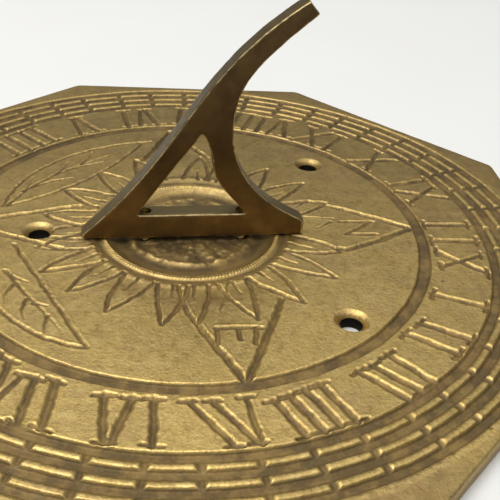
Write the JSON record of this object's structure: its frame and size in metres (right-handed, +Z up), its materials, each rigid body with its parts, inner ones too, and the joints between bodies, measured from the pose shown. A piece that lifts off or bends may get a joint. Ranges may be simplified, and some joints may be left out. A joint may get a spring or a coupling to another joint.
{
  "type": "garden sundial",
  "caption": "Octagonal cast brass garden sundial plate with sunk Roman hour ring, compass star and sun medallion, and a curved gnomon with a triangular window held by screws from below.",
  "frame": {"origin": "centre of the plate's underside, on the surface that it lies on", "axes": "+Z up from the dial's face, +Y towards noon (XII), where the gnomon's arm points, +X towards the evening hours (VI)"},
  "size_m": [0.2, 0.2, 0.0686],
  "materials": {
    "plate_brass": "aged cast brass, olive gold on the lands, dark in the grooves",
    "gnomon_brass": "dark brown patina, rubbed bright along the edges",
    "screw_brass": "turned brass, tarnished"
  },
  "bodies": {
    "root": {"dial_plate": "plate_brass", "gnomon": "gnomon_brass", "gnomon_screws": "screw_brass"}
  },
  "joints": []
}
